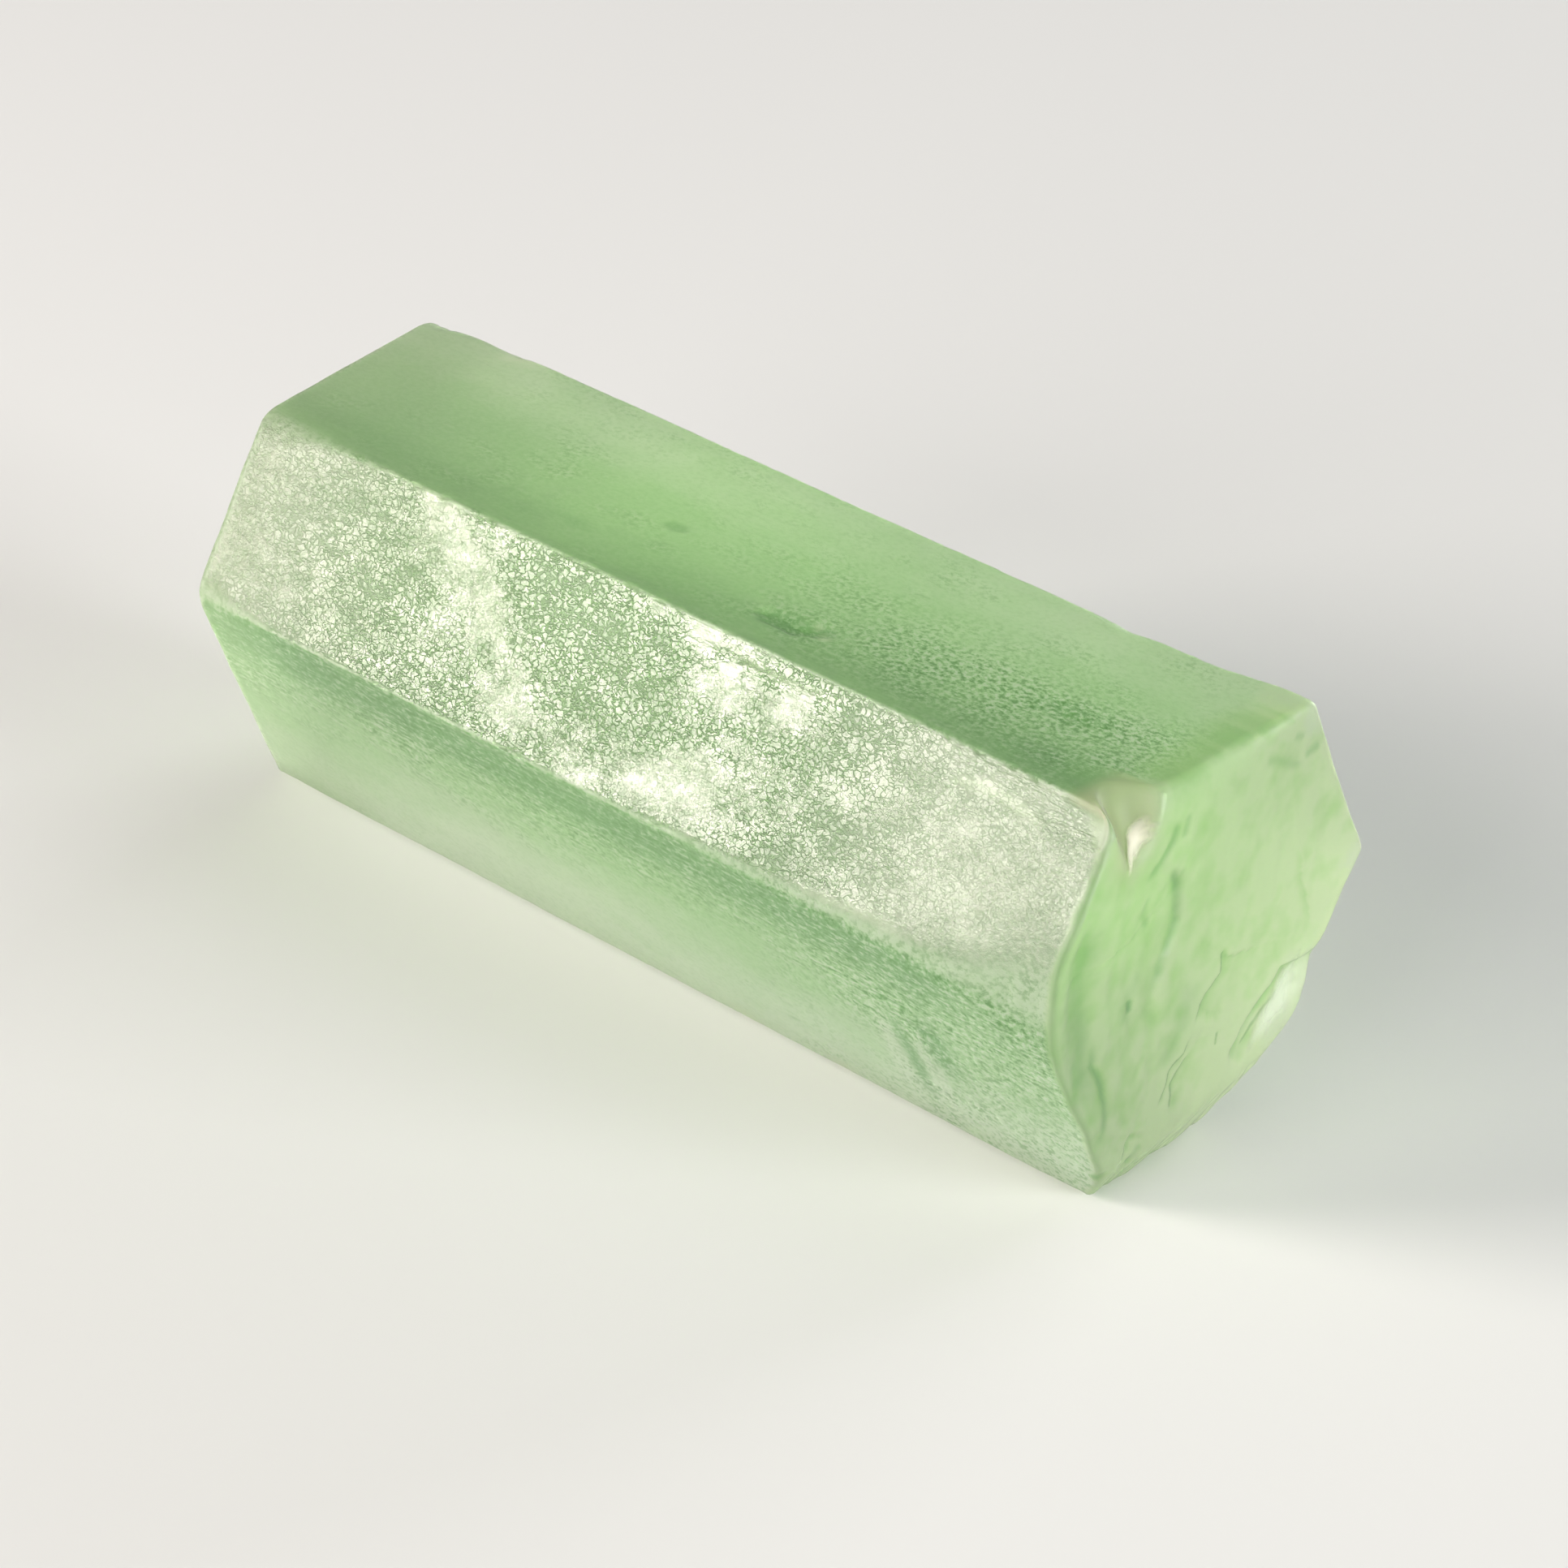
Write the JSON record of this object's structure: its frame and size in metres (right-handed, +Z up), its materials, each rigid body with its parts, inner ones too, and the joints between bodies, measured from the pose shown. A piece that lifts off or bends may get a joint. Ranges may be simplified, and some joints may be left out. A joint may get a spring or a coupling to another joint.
{
  "type": "beryl crystal",
  "caption": "Loose six-sided prism of pale green, frosted, see-through beryl, lying on one prism face, with a flat end and a shell-like broken end.",
  "frame": {"origin": "on the surface that the crystal lies on, under the middle of its bounding box", "axes": "+X along the prism from the flat end to the broken end, +Z up, away from the face it lies on"},
  "size_m": [0.0322, 0.013, 0.0121],
  "materials": {
    "beryl": "pale green crystal, etched and frosted on the prism faces, smoother on the break, with a rusty stain in one chipped corner"
  },
  "bodies": {
    "root": {"beryl_crystal": "beryl"}
  },
  "joints": []
}
